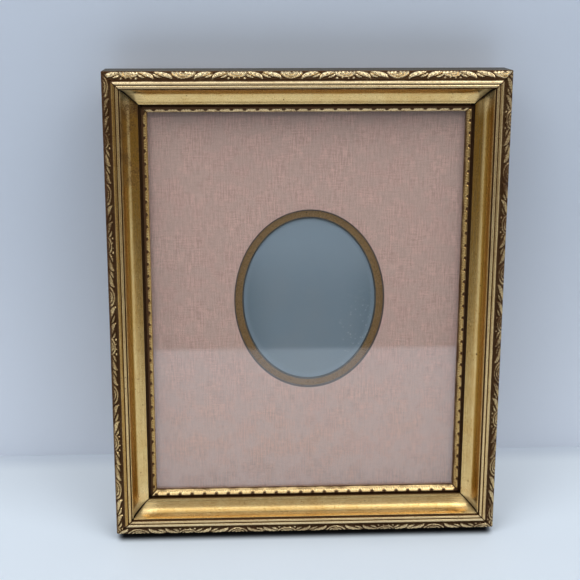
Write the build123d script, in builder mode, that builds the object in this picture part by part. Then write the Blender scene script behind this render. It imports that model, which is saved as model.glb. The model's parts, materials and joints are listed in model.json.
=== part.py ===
from build123d import *
import os
from math import cos, radians, sin

# A gilt moulding frame with an oval mat, leaning back on an easel strut
# Sizes in millimetres, angles in degrees

# Stance
lean = 12.0                     # frame leans back from upright
strut_opening = 21.5            # strut open on its stop, away from the frame's back
hinge_height = 185.0            # strut hinge, along the frame from the edge it rests on

# Moulding, outward from the sight edge and forward from the back
sight_width = 190.5
sight_height = 241.3
moulding_width = 25.4
back_taper = 0.6                # outer side draws in towards the back
rabbet_width = 7.1
rabbet_depth = 9.5
sight_edge_thickness = 1.0
lip_width = 3.3
lip_rise = 2.9
groove_width = 1.8
groove_depth = 3.4
cove_rim_rise = 1.1             # rim of the cove above the top of the lip
cove_radius = 9.1
quirk_width = 0.7
quirk_rise = 1.1
inner_bead_radius = 1.3
outer_bead_radius = 1.25
band_groove_width = 0.8
band_groove_depth = 0.7
band_drop = 0.1                 # top of the carved band below the foot of the beads
band_fall = 3.4                 # carved band, from its top to the shoulder
mitre_allowance = 2.0

# Corner nails
nail_leg = 8.0
nail_thickness = 0.7
nail_depth = 10.0
nail_offset = 12.0

# Picture pack, front to back in the rabbet
pack_clearance = 0.75           # each side, in the rabbet
glass_thickness = 2.0
cloth_thickness = 0.4
cloth_clearance = 0.05          # turned edge of the cloth, clear of the board
mat_thickness = 1.6
liner_thickness = 1.2
card_thickness = 0.8
panel_thickness = 3.0

# Oval windows
mat_window_width = 92.0
mat_window_height = 112.9
liner_reveal = 5.15             # gilt liner showing inside the cloth
window_right = 2.2              # centre of both windows off the centre of the frame
window_up = 3.4

# Turn buttons
button_offset = 15.0            # screws, outward from the sight edge
button_spacing = 130.0
button_width = 9.0
button_reach = 14.5
button_thickness = 0.9
button_clearance = 0.1          # under the button, round its screw and under the head
button_screw_radius = 1.2
button_screw_depth = 9.0
button_head_radius = 3.0
button_head_height = 1.6
button_head_round = 0.9
drive_slot_width = 0.7
drive_slot_depth = 0.6

# Sawtooth hanger
hanger_offset = 16.0            # middle of the hanger, outward from the sight edge
hanger_length = 52.0
hanger_height = 9.0
hanger_thickness = 0.8
hanger_end = 9.0
hanger_ramp = 3.0
hanger_standoff = 2.0
tooth_pitch = 2.6
tooth_count = 10
tooth_depth = 1.8
hanger_nail_radius = 0.9
hanger_nail_depth = 10.0
hanger_nail_head_radius = 2.0
hanger_nail_head_height = 0.8

# Strut and its hinge
strut_thickness = 3.0
strut_top_width = 42.0
strut_foot_width = 66.0
strut_corner_radius = 6.0
strut_top_gap = 0.5             # end of the strut below the knuckles
pin_radius = 1.1
pin_overhang = 0.8
pin_chamfer = 0.3
pin_press_clearance = 0.02
pin_running_clearance = 0.06
knuckle_radius = 2.2
knuckle_standoff = 0.3          # knuckles clear of the back panel
knuckle_side_gap = 0.2
hinge_width = 34.0
fixed_knuckle_width = 9.0
hinge_leaf_thickness = 1.0
leaf_corner_radius = 4.0
hinge_plate_length = 24.0
strut_leaf_length = 30.0
stop_length = 7.0
stop_width = 10.0
stop_clearance = 0.1
rivet_radius = 1.2
rivet_clearance = 0.05
rivet_head_radius = 2.3
rivet_head_height = 0.9
rivet_head_round = 0.6
rivet_spacing = 20.0
rivet_end_distance = 8.0        # rivets from the far edge of each leaf

# Heights of the moulding above its back
sight_edge_top = rabbet_depth + sight_edge_thickness
lip_top = sight_edge_top + lip_rise
rim_top = lip_top + cove_rim_rise
groove_floor = rim_top - groove_depth
arris_top = rim_top + cove_radius
bead_base = arris_top + quirk_rise
band_groove_floor = bead_base - band_groove_depth
band_top = bead_base - band_drop
shoulder = band_top - band_fall

# Places across the moulding, outward from the sight edge
cove_rim = lip_width + groove_width
arris = cove_rim + cove_radius
inner_bead = arris + quirk_width
outer_bead = inner_bead + 2 * inner_bead_radius
band_groove = outer_bead + 2 * outer_bead_radius
band = band_groove + band_groove_width
back_edge = moulding_width - back_taper

# Directions of the leaning frame and of the open strut
lean_angle = radians(lean)
opening_angle = radians(strut_opening)
across = Vector(1, 0, 0)
up = Vector(0, sin(lean_angle), cos(lean_angle))
back = Vector(0, cos(lean_angle), -sin(lean_angle))
front = back * -1
strut_up = up * cos(opening_angle) - back * sin(opening_angle)
strut_out = back * cos(opening_angle) + up * sin(opening_angle)

# Depths behind the rails' back plane
pack_thickness = glass_thickness + cloth_thickness + mat_thickness + liner_thickness
pack_thickness += card_thickness + panel_thickness
panel_back = pack_thickness - rabbet_depth
axis_depth = panel_back + knuckle_standoff + knuckle_radius
strut_face = knuckle_radius - hinge_leaf_thickness

# The rest edge lies on the floor, with the footprint centred on the origin
axis_from_edge = up * hinge_height + back * axis_depth
heel = axis_from_edge + strut_out * strut_face
heel_drop = strut_up * (heel.Z / strut_up.Z)
back_reach = (heel - heel_drop).Y
bead_reaches = []
for bead_middle, bead_radius in [
    (inner_bead + inner_bead_radius, inner_bead_radius),
    (outer_bead + outer_bead_radius, outer_bead_radius),
]:
    bead_rise = (back_edge - bead_middle) * sin(lean_angle)
    bead_reaches.append(bead_base * cos(lean_angle) - bead_rise + bead_radius)
rest_edge = Vector(0, (max(bead_reaches) - back_reach) / 2, 0)
frame_centre = rest_edge + up * (sight_height / 2 + back_edge)
hinge_axis = rest_edge + axis_from_edge

# Planes: the rails' back seen from behind, and the two leaves of the hinge seen from the side
back_face = Plane(origin=frame_centre, x_dir=-across, z_dir=back)
plate_side = Plane(origin=hinge_axis, x_dir=back, z_dir=across)
strut_side = Plane(origin=hinge_axis, x_dir=strut_out, z_dir=across)
strut_back = Plane(origin=hinge_axis + strut_out * strut_face, x_dir=-across, z_dir=strut_out)

# Shared sizes
pack_width = sight_width + 2 * (rabbet_width - pack_clearance)
pack_height = sight_height + 2 * (rabbet_width - pack_clearance)
window_centre = (-window_right, window_up)
cloth_window = (mat_window_width / 2, mat_window_height / 2)
turn_window = [radius + cloth_thickness for radius in cloth_window]
board_window = [radius + cloth_clearance for radius in turn_window]
liner_window = [radius - liner_reveal for radius in cloth_window]
button_x = sight_width / 2 + button_offset
button_points = [(x, y) for x in (-button_x, button_x) for y in (-button_spacing / 2, button_spacing / 2)]
hanger_middle = sight_height / 2 + hanger_offset
hanger_nail_x = hanger_length / 2 - hanger_end / 2
hanger_nail_points = [(-hanger_nail_x, hanger_middle), (hanger_nail_x, hanger_middle)]
hinge_level = hinge_height - back_edge - sight_height / 2
plate_rivet_level = hinge_level + hinge_plate_length - rivet_end_distance
plate_rivet_points = [(-rivet_spacing / 2, plate_rivet_level), (rivet_spacing / 2, plate_rivet_level)]
strut_rivet_level = rivet_end_distance - strut_leaf_length
strut_rivet_points = [(-rivet_spacing / 2, strut_rivet_level), (rivet_spacing / 2, strut_rivet_level)]

os.makedirs("parts", exist_ok=True)

# Bent corner nails, pressed into the back across each mitre
with BuildPart() as corner_v_nails:
    with BuildSketch(back_face):
        with Locations((sight_width / 2 + nail_offset, sight_height / 2 + nail_offset)):
            Rectangle(nail_leg, nail_thickness, align=(Align.MIN, Align.MIN))
            Rectangle(nail_thickness, nail_leg, align=(Align.MIN, Align.MIN))
        mirror(about=Plane.YZ)
        mirror(about=Plane.XZ)
    extrude(amount=-nail_depth)
corner_v_nails.part.label = "corner_v_nails"
export_step(corner_v_nails.part, "parts/corner_v_nails.step")

# Four mitred lengths of moulding
rails = {
    "top_rail": (up, sight_height / 2, sight_width / 2),
    "bottom_rail": (up * -1, sight_height / 2, sight_width / 2),
    "left_rail": (across * -1, sight_width / 2, sight_height / 2),
    "right_rail": (across, sight_width / 2, sight_height / 2),
}
for name, (outward, sight_offset, half_sight) in rails.items():
    along = outward.cross(front)
    sight_middle = frame_centre + outward * sight_offset
    with BuildPart() as rail:
        with BuildSketch(Plane(origin=sight_middle, x_dir=outward, z_dir=along)):
            with BuildLine():
                EllipticalCenterArc((lip_width, sight_edge_top), lip_width, lip_rise, 90, arc_size=90)
                Polyline(
                    (lip_width, lip_top),
                    (lip_width, groove_floor),
                    (cove_rim, groove_floor),
                    (cove_rim, rim_top),
                )
                CenterArc((cove_rim, arris_top), cove_radius, -90, 90)
                Polyline((arris, arris_top), (inner_bead, arris_top), (inner_bead, bead_base))
                CenterArc((inner_bead + inner_bead_radius, bead_base), inner_bead_radius, 0, 180)
                CenterArc((outer_bead + outer_bead_radius, bead_base), outer_bead_radius, 0, 180)
                Polyline(
                    (band_groove, bead_base),
                    (band_groove, band_groove_floor),
                    (band, band_groove_floor),
                    (band, band_top),
                )
                EllipticalCenterArc((band, shoulder), moulding_width - band, band_fall, 0, arc_size=90)
                Polyline(
                    (moulding_width, shoulder),
                    (back_edge, 0),
                    (rabbet_width, 0),
                    (rabbet_width, rabbet_depth),
                    (0, rabbet_depth),
                    (0, sight_edge_top),
                )
            make_face()
        extrude(amount=half_sight + moulding_width + mitre_allowance, both=True)
        for end in (along, along * -1):
            mitre = Plane(origin=sight_middle + end * half_sight, z_dir=end - outward)
            split(bisect_by=mitre, keep=Keep.BOTTOM)
        add(corner_v_nails.part, mode=Mode.SUBTRACT)
        with BuildSketch(back_face):
            with Locations(*button_points):
                Circle(button_screw_radius)
        extrude(amount=-button_screw_depth, mode=Mode.SUBTRACT)
        with BuildSketch(back_face):
            with Locations(*hanger_nail_points):
                Circle(hanger_nail_radius)
        extrude(amount=-hanger_nail_depth, mode=Mode.SUBTRACT)
    rail.part.label = name
    export_step(rail.part, f"parts/{name}.step")

# Picture pack: each sheet lies on the one in front of it
glass_plane = back_face.offset(-rabbet_depth)
cloth_plane = glass_plane.offset(glass_thickness)
mat_plane = cloth_plane.offset(cloth_thickness)
liner_plane = mat_plane.offset(mat_thickness)
card_plane = liner_plane.offset(liner_thickness)
panel_plane = card_plane.offset(card_thickness)

with BuildPart() as glass_pane:
    with BuildSketch(glass_plane):
        Rectangle(pack_width, pack_height)
    extrude(amount=glass_thickness)
glass_pane.part.label = "glass_pane"
export_step(glass_pane.part, "parts/glass_pane.step")

# Cloth over the mat, turned back through its window
with BuildPart() as mat_cloth:
    with BuildSketch(cloth_plane):
        Rectangle(pack_width, pack_height)
        with Locations(window_centre):
            Ellipse(*cloth_window, mode=Mode.SUBTRACT)
    extrude(amount=cloth_thickness)
    with BuildSketch(mat_plane):
        with Locations(window_centre):
            Ellipse(*turn_window)
            Ellipse(*cloth_window, mode=Mode.SUBTRACT)
    extrude(amount=mat_thickness)
mat_cloth.part.label = "mat_cloth"
export_step(mat_cloth.part, "parts/mat_cloth.step")

with BuildPart() as mat_board:
    with BuildSketch(mat_plane):
        Rectangle(pack_width, pack_height)
        with Locations(window_centre):
            Ellipse(*board_window, mode=Mode.SUBTRACT)
    extrude(amount=mat_thickness)
mat_board.part.label = "mat_board"
export_step(mat_board.part, "parts/mat_board.step")

with BuildPart() as oval_liner:
    with BuildSketch(liner_plane):
        Rectangle(pack_width, pack_height)
        with Locations(window_centre):
            Ellipse(*liner_window, mode=Mode.SUBTRACT)
    extrude(amount=liner_thickness)
oval_liner.part.label = "oval_liner"
export_step(oval_liner.part, "parts/oval_liner.step")

with BuildPart() as picture_card:
    with BuildSketch(card_plane):
        Rectangle(pack_width, pack_height)
    extrude(amount=card_thickness)
picture_card.part.label = "picture_card"
export_step(picture_card.part, "parts/picture_card.step")

with BuildPart() as back_panel:
    with BuildSketch(panel_plane):
        Rectangle(pack_width, pack_height)
        with Locations(*plate_rivet_points):
            Circle(rivet_radius + rivet_clearance, mode=Mode.SUBTRACT)
    extrude(amount=panel_thickness)
back_panel.part.label = "back_panel"
export_step(back_panel.part, "parts/back_panel.step")

# Turn buttons on the side rails, pointing in over the panel
button_plane = back_face.offset(button_clearance)
button_slot = button_reach - button_width / 2
for x, y in button_points:
    inward = -1 if x > 0 else 1
    side = "left" if x > 0 else "right"
    level = "upper" if y > 0 else "lower"
    name = f"turn_button_{side}_{level}"
    with BuildPart() as turn_button:
        with BuildSketch(button_plane):
            with Locations((x + inward * button_slot / 2, y)):
                SlotCenterToCenter(button_slot, button_width)
            with Locations((x, y)):
                Circle(button_screw_radius + button_clearance, mode=Mode.SUBTRACT)
        extrude(amount=button_thickness)
    turn_button.part.label = name
    export_step(turn_button.part, f"parts/{name}.step")

# Round-headed screws that the buttons turn on
button_head_plane = button_plane.offset(button_thickness + button_clearance)
with BuildPart() as turn_button_screws:
    with BuildSketch(button_head_plane):
        with Locations(*button_points):
            Circle(button_head_radius)
    extrude(amount=button_head_height)
    screw_tops = turn_button_screws.faces().group_by(Axis(frame_centre, back))[-1]
    fillet(screw_tops.edges(), button_head_round)
    with BuildSketch(button_head_plane.offset(button_head_height)):
        with Locations(*button_points):
            Rectangle(2 * button_head_radius, drive_slot_width)
    extrude(amount=-drive_slot_depth, mode=Mode.SUBTRACT)
    with BuildSketch(button_head_plane):
        with Locations(*button_points):
            Circle(button_screw_radius)
    extrude(amount=-(button_thickness + 2 * button_clearance + button_screw_depth))
turn_button_screws.part.label = "turn_button_screws"
export_step(turn_button_screws.part, "parts/turn_button_screws.step")

# Toothed strip that stands off the top rail, for a nail in a wall
hanger_top = frame_centre + up * (hanger_middle + hanger_height / 2)
raised_half = hanger_length / 2 - hanger_end - hanger_ramp
with BuildPart() as sawtooth_hanger:
    with BuildSketch(Plane(origin=hanger_top, x_dir=-across, z_dir=up * -1)):
        with BuildLine():
            Polyline(
                (-hanger_length / 2, 0),
                (hanger_end - hanger_length / 2, 0),
                (-raised_half, hanger_standoff),
                (raised_half, hanger_standoff),
                (hanger_length / 2 - hanger_end, 0),
                (hanger_length / 2, 0),
            )
            offset(amount=hanger_thickness, side=Side.LEFT)
        make_face()
    extrude(amount=hanger_height)
    with BuildSketch(back_face.offset(hanger_standoff)):
        with Locations((0, hanger_middle - hanger_height / 2)):
            with GridLocations(tooth_pitch, tooth_pitch, tooth_count, 1):
                Polygon((-tooth_pitch / 2, 0), (tooth_pitch / 2, 0), (0, tooth_depth), align=None)
    extrude(amount=hanger_thickness, mode=Mode.SUBTRACT)
    with BuildSketch(back_face):
        with Locations(*hanger_nail_points):
            Circle(hanger_nail_radius)
    extrude(amount=hanger_thickness, mode=Mode.SUBTRACT)
sawtooth_hanger.part.label = "sawtooth_hanger"
export_step(sawtooth_hanger.part, "parts/sawtooth_hanger.step")

with BuildPart() as hanger_nails:
    with BuildSketch(back_face.offset(hanger_thickness)):
        with Locations(*hanger_nail_points):
            Circle(hanger_nail_head_radius)
    extrude(amount=hanger_nail_head_height)
    with BuildSketch(back_face.offset(hanger_thickness)):
        with Locations(*hanger_nail_points):
            Circle(hanger_nail_radius)
    extrude(amount=-(hanger_thickness + hanger_nail_depth))
hanger_nails.part.label = "hanger_nails"
export_step(hanger_nails.part, "parts/hanger_nails.step")

# Fixed leaf of the strut hinge: two knuckles at the sides and a plate above them
leaf_clear = knuckle_radius + knuckle_side_gap
plate_inner = knuckle_radius + knuckle_standoff
plate_outer = plate_inner - hinge_leaf_thickness
knuckle_middle = hinge_width / 2 - fixed_knuckle_width / 2
with BuildPart() as strut_hinge_plate:
    for side in (-1, 1):
        with BuildSketch(plate_side.offset(side * knuckle_middle)):
            Circle(knuckle_radius)
            with Locations((-plate_inner, 0)):
                Rectangle(hinge_leaf_thickness, leaf_clear, align=(Align.MIN, Align.MIN))
        extrude(amount=fixed_knuckle_width / 2, both=True)
    with BuildSketch(plate_side):
        with Locations((-plate_inner, leaf_clear)):
            plate_size = hinge_plate_length - leaf_clear
            Rectangle(hinge_leaf_thickness, plate_size, align=(Align.MIN, Align.MIN))
    extrude(amount=hinge_width / 2, both=True)
    plate_corners = strut_hinge_plate.edges().filter_by(Axis(hinge_axis, back))
    fillet(plate_corners.group_by(Axis(hinge_axis, up))[-1], leaf_corner_radius)
    with BuildSketch(plate_side):
        Circle(pin_radius + pin_press_clearance)
    extrude(amount=hinge_width / 2, both=True, mode=Mode.SUBTRACT)
    with BuildSketch(back_face.offset(panel_back)):
        with Locations(*plate_rivet_points):
            Circle(rivet_radius + rivet_clearance)
    extrude(amount=hinge_leaf_thickness, mode=Mode.SUBTRACT)
strut_hinge_plate.part.label = "strut_hinge_plate"
export_step(strut_hinge_plate.part, "parts/strut_hinge_plate.step")

with BuildPart() as hinge_pin:
    with BuildSketch(plate_side):
        Circle(pin_radius)
    extrude(amount=hinge_width / 2 + pin_overhang, both=True)
    chamfer(hinge_pin.edges().filter_by(GeomType.CIRCLE), pin_chamfer)
hinge_pin.part.label = "hinge_pin"
export_step(hinge_pin.part, "parts/hinge_pin.step")

# Moving leaf: the middle knuckle, a plate on the strut and a tongue that stops on the fixed leaf
moving_half = hinge_width / 2 - fixed_knuckle_width - knuckle_side_gap
with BuildPart() as strut_hinge_leaf:
    with BuildSketch(strut_side):
        Circle(knuckle_radius)
        with Locations((strut_face, 0)):
            Rectangle(hinge_leaf_thickness, leaf_clear, align=(Align.MIN, Align.MAX))
    extrude(amount=moving_half, both=True)
    with BuildSketch(strut_side):
        with Locations((strut_face, -leaf_clear)):
            leaf_size = strut_leaf_length - leaf_clear
            Rectangle(hinge_leaf_thickness, leaf_size, align=(Align.MIN, Align.MAX))
    extrude(amount=hinge_width / 2, both=True)
    leaf_corners = strut_hinge_leaf.edges().filter_by(Axis(hinge_axis, strut_out))
    fillet(leaf_corners.group_by(Axis(hinge_axis, strut_up))[0], leaf_corner_radius)
    with BuildSketch(plate_side):
        with Locations((stop_clearance - plate_outer, 0)):
            Rectangle(hinge_leaf_thickness, stop_length, align=(Align.MIN, Align.MIN))
    extrude(amount=stop_width / 2, both=True)
    with BuildSketch(strut_side):
        Circle(pin_radius + pin_running_clearance)
    extrude(amount=hinge_width / 2, both=True, mode=Mode.SUBTRACT)
    with BuildSketch(strut_back):
        with Locations(*strut_rivet_points):
            Circle(rivet_radius + rivet_clearance)
    extrude(amount=hinge_leaf_thickness, mode=Mode.SUBTRACT)
strut_hinge_leaf.part.label = "strut_hinge_leaf"
export_step(strut_hinge_leaf.part, "parts/strut_hinge_leaf.step")

# Strut: a board that widens to its foot, cut to stand flat on the floor
strut_top = -(knuckle_radius + strut_top_gap)
strut_length = hinge_axis.Z / strut_up.Z + strut_thickness
with BuildPart() as easel_strut:
    with BuildSketch(strut_back) as strut_outline:
        with BuildLine():
            Polyline(
                (-strut_top_width / 2, strut_top),
                (strut_top_width / 2, strut_top),
                (strut_foot_width / 2, -strut_length),
                (-strut_foot_width / 2, -strut_length),
                close=True,
            )
        make_face()
        fillet(strut_outline.vertices().group_by(Axis.Y)[-1], strut_corner_radius)
        with Locations(*strut_rivet_points):
            Circle(rivet_radius + rivet_clearance, mode=Mode.SUBTRACT)
    extrude(amount=-strut_thickness)
    split(bisect_by=Plane.XY, keep=Keep.TOP)
easel_strut.part.label = "easel_strut"
export_step(easel_strut.part, "parts/easel_strut.step")

# Domed rivets through each leaf and the board under it
rivet_sets = {
    "hinge_plate_rivets": (back_face.offset(panel_back), plate_rivet_points, panel_thickness),
    "strut_rivets": (strut_back, strut_rivet_points, strut_thickness),
}
for name, (board_face, points, board_thickness) in rivet_sets.items():
    with BuildPart() as rivets:
        with BuildSketch(board_face.offset(hinge_leaf_thickness)):
            with Locations(*points):
                Circle(rivet_head_radius)
        extrude(amount=rivet_head_height)
        rivet_tops = rivets.faces().group_by(Axis(board_face.origin, board_face.z_dir))[-1]
        fillet(rivet_tops.edges(), rivet_head_round)
        with BuildSketch(board_face.offset(hinge_leaf_thickness)):
            with Locations(*points):
                Circle(rivet_radius)
        extrude(amount=-(hinge_leaf_thickness + board_thickness))
    rivets.part.label = name
    export_step(rivets.part, f"parts/{name}.step")
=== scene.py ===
import json
import math
import bpy
import numpy as np
from mathutils import Matrix, Vector


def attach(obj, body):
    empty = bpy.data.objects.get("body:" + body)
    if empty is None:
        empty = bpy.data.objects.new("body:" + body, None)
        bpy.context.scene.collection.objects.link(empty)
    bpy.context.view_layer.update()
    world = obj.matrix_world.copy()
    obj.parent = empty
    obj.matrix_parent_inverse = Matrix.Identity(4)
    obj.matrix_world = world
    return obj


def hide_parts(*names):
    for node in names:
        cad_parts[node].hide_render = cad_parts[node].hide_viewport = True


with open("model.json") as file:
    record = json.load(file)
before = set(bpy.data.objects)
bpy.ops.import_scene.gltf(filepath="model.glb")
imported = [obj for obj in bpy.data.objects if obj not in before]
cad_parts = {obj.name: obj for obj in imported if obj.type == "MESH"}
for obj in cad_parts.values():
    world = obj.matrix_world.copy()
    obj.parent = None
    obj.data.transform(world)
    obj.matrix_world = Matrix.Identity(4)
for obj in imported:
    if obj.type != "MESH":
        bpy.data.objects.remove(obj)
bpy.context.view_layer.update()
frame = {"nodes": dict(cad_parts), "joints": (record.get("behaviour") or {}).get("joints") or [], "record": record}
nodes = frame["nodes"]
mm = 0.001

# Where the leaning frame stands: right, up and forward seen from its front, from the middle of its back
mounts = {mount["name"]: mount for mount in frame["record"]["mounts"]}
forward = -Vector(mounts["wall_face"]["axis"])
rightward = Vector((1, 0, 0))
upward = forward.cross(rightward)
pivots = [Vector(joint["pos_m"]) for joint in frame["joints"] if joint["name"].startswith("button")]
middle = sum(pivots, Vector()) / len(pivots)
middle += forward * (Vector(mounts["wall_face"]["pos_m"]) - middle).dot(forward)
stance = Matrix((rightward, upward, forward)).transposed().to_4x4()
stance.translation = middle
print("frame loaded, opening centred at", [round(value, 4) for value in middle])


# Small helpers for the modelling

def pick(obj):
    bpy.ops.object.select_all(action="DESELECT")
    obj.select_set(True)
    bpy.context.view_layer.objects.active = obj


def standUp(obj):
    # a piece is modelled lying flat on the world's floor, face up, and then takes the frame's lean
    pick(obj)
    obj.matrix_world = stance @ obj.matrix_world
    bpy.ops.object.transform_apply(location=True, rotation=True, scale=True)


def selectVertices(obj, wanted):
    # leaves the piece in edit mode with only the wanted vertices selected
    pick(obj)
    bpy.ops.object.mode_set(mode="EDIT")
    bpy.ops.mesh.select_mode(type="VERT")
    bpy.ops.mesh.select_all(action="DESELECT")
    bpy.ops.object.mode_set(mode="OBJECT")
    for vertex in obj.data.vertices:
        vertex.select = wanted(vertex.co)
    bpy.ops.object.mode_set(mode="EDIT")


def editAll(obj, *steps):
    # edit-mode operators one after the other, each on the whole piece
    pick(obj)
    bpy.ops.object.mode_set(mode="EDIT")
    for operator, settings in steps:
        bpy.ops.mesh.select_all(action="SELECT")
        getattr(bpy.ops.mesh, operator)(**settings)
    bpy.ops.object.mode_set(mode="OBJECT")


# Steps for editAll: close points become one, and faces all point outwards
mergePoints = ("remove_doubles", {"threshold": 1e-6})
alignFaces = ("normals_make_consistent", {"inside": False})


def faceUp(obj):
    # the faces of a flat sheet all point the same way, and that way is up
    editAll(obj, alignFaces)
    if sum(face.normal.z * face.area for face in obj.data.polygons) < 0:
        obj.data.flip_normals()


def applyModifier(obj, kind, settings):
    pick(obj)
    modifier = obj.modifiers.new(kind.title(), kind)
    for key, value in settings.items():
        setattr(modifier, key, value)
    bpy.ops.object.modifier_apply(modifier=modifier.name)


def softenEdges(obj, width, segments):
    applyModifier(obj, "BEVEL", {"width": width * mm, "segments": segments, "limit_method": "ANGLE",
                                 "angle_limit": math.radians(35), "use_clamp_overlap": True})


def shadeSmooth(obj, degrees):
    pick(obj)
    bpy.ops.object.shade_smooth_by_angle(angle=math.radians(degrees))


def finishPiece(obj, body, replaced):
    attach(obj, body)
    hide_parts(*replaced)


# Small helpers for the materials

nodeGrid = {"columns": 8, "across": 220, "down": 300}  # nodes are laid out in the order they are made


def addNode(tree, kind, feeds=None, **settings):
    node = tree.nodes.new("ShaderNode" + kind)
    row, column = divmod(len(tree.nodes), nodeGrid["columns"])
    node.location = (column * nodeGrid["across"], -row * nodeGrid["down"])
    for key, value in settings.items():
        setattr(node, key, value)
    for key, value in (feeds or {}).items():
        if isinstance(value, bpy.types.NodeSocket):
            tree.links.new(value, node.inputs[key])
        else:
            node.inputs[key].default_value = value
    return node


def objectPlace(tree):
    return (tree.nodes.get("Texture Coordinate") or addNode(tree, "TexCoord")).outputs["Object"]


def ownPlace(tree):
    return addNode(tree, "UVMap").outputs["UV"]


def attribute(tree, name):
    return addNode(tree, "Attribute", attribute_name=name).outputs["Fac"]


def sums(tree, operation, first, second=0.0, clamp=False):
    return addNode(tree, "Math", {0: first, 1: second}, operation=operation, use_clamp=clamp).outputs[0]


def times(tree, first, second):
    return sums(tree, "MULTIPLY", first, second)


def weighted(tree, *terms):
    # the sum of some values, each times its weight
    total = 0.0
    for value, weight in terms:
        total = addNode(tree, "Math", {0: value, 1: weight, 2: total}, operation="MULTIPLY_ADD").outputs[0]
    return total


def stretch(tree, value, low, high, toLow=0.0, toHigh=1.0):
    # a smooth step while the value goes from low to high, which may be the smaller
    feeds = {"Value": value, "From Min": low, "From Max": high, "To Min": toLow, "To Max": toHigh}
    return addNode(tree, "MapRange", feeds, interpolation_type="SMOOTHSTEP").outputs["Result"]


def between(tree, mask, low, high):
    return stretch(tree, mask, 0.0, 1.0, low, high)


def layered(tree, colours, ground, *layers):
    # colours laid over each other, each where its mask says and at its share of full strength
    ground = colours[ground] if isinstance(ground, str) else ground
    for mask, share, over in layers:
        factor = mask if share == 1 else times(tree, mask, share)
        ground = addNode(tree, "Mix", {0: factor, 6: ground, 7: colours[over]}, data_type="RGBA").outputs[2]
    return ground


def bumped(tree, height, strength, distance):
    return addNode(tree, "Bump", {"Height": height, "Strength": strength, "Distance": distance}).outputs["Normal"]


def mainShader(tree):
    return tree.nodes["Principled BSDF"]


def newMaterial(name, draw, *values, **plain):
    # a material drawn by a function, with some plain values of its shader
    material = bpy.data.materials.new(name)
    material.use_nodes = True
    for key, value in plain.items():
        mainShader(material.node_tree).inputs[key.replace("_", " ")].default_value = value
    draw(material.node_tree, *values)
    return material


def feedShader(tree, **links):
    for key, value in links.items():
        tree.links.new(value, mainShader(tree).inputs[key.replace("_", " ")])


def seeThrough(tree, mask):
    # rays pass straight through where the mask says
    clear = addNode(tree, "BsdfTransparent").outputs[0]
    both = addNode(tree, "MixShader", {0: mask, 1: mainShader(tree).outputs[0], 2: clear})
    tree.links.new(both.outputs[0], tree.nodes["Material Output"].inputs["Surface"])


# Effects that several finishes share

def newEffect(name, output, draw, **values):
    # a node group that takes coordinates and some values and gives one value, to be called with a tree
    group = bpy.data.node_groups.new(name, "ShaderNodeTree")
    group.interface.new_socket("Vector", in_out="INPUT", socket_type="NodeSocketVector")
    for label, value in values.items():
        group.interface.new_socket(label, in_out="INPUT", socket_type="NodeSocketFloat").default_value = value
    group.interface.new_socket(output, in_out="OUTPUT", socket_type="NodeSocketFloat")
    given, out = group.nodes.new("NodeGroupInput").outputs, group.nodes.new("NodeGroupOutput").inputs[output]
    group.links.new(draw(group, given), out)

    def use(tree, **feeds):
        if "Vector" not in feeds:
            feeds["Vector"] = objectPlace(tree)
        return addNode(tree, "Group", feeds, node_tree=group).outputs[0]
    return use


def drawnNoise(group, given, third, **feeds):
    # noise drawn out along the first axis of the coordinates
    scale = addNode(group, "CombineXYZ", {"X": given["Along"], "Y": given["Across"], "Z": third})
    drawn = addNode(group, "VectorMath", {0: given["Vector"], 1: scale.outputs[0]}, operation="MULTIPLY")
    return addNode(group, "TexNoise", {"Vector": drawn.outputs[0], "Scale": 1.0, **feeds}).outputs["Fac"]


def drawMottle(group, given):
    # soft uneven patches, 0 to 1
    feeds = {key: given[key] for key in ("Vector", "Scale", "Detail")}
    noise = addNode(group, "TexNoise", {**feeds, "Roughness": 0.6})
    return stretch(group, noise.outputs["Fac"], given["Low"], given["High"])


def drawStreaks(group, given):
    # long lines, 0 to 1
    noise = drawnNoise(group, given, 1.0, Detail=5.0, Roughness=0.65)
    return stretch(group, noise, given["Low"], given["High"])


def drawSpecks(group, given):
    # scattered small spots: some cells of a field of cells hold one
    cells = addNode(group, "TexVoronoi", {"Vector": given["Vector"], "Scale": given["Scale"]})
    spot = stretch(group, cells.outputs["Distance"], given["Size"], times(group, given["Size"], 0.5))
    chosen = addNode(group, "SeparateColor", {"Color": cells.outputs["Color"]})
    return times(group, spot, sums(group, "LESS_THAN", chosen.outputs[0], given["Share"]))


def drawScratches(group, given):
    # hair lines: the thin level lines of a drawn-out noise, broken up
    level = sums(group, "SUBTRACT", drawnNoise(group, given, given["Across"], Detail=2.0), 0.52)
    hair = stretch(group, sums(group, "ABSOLUTE", level), given["Width"], 0.0)
    broken = addNode(group, "TexNoise", {"Vector": given["Vector"], "Scale": 1.7, "Detail": 1.0})
    return times(group, hair, stretch(group, broken.outputs["Fac"], 0.5, 0.62))


mottle = newEffect("mottle", "Value", drawMottle, Scale=20.0, Detail=4.0, Low=0.3, High=0.7)
streaks = newEffect("streaks", "Value", drawStreaks, Along=1.0, Across=30.0, Low=0.3, High=0.7)
specks = newEffect("specks", "Mask", drawSpecks, Scale=200.0, Size=0.2, Share=0.3)
scratches = newEffect("scratches", "Mask", drawScratches, Along=1.0, Across=12.0, Width=0.012)


# Finishes

giltSet = {
    "gold": (0.98, 0.705, 0.315, 1), "deepGold": (0.88, 0.585, 0.235, 1), "paleGold": (1.0, 0.845, 0.57, 1),
    "glaze": (0.40, 0.205, 0.035, 1), "bole": (0.36, 0.15, 0.06, 1), "wash": (0.085, 0.036, 0.011, 1),
    "grain": 0.26, "flecks": 0.30, "streaks": 0.22,  # how far each of these tones the leaf
    "metallic": (0.92, 0.08),  # on bare gold and under the wash
    "dulled": (-0.13, -0.40, 0.0, 0.55),  # tone below zero stands for less metallic leaf
    "roughness": (0.19, 0.28), "washRoughness": 0.30,
}


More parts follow.
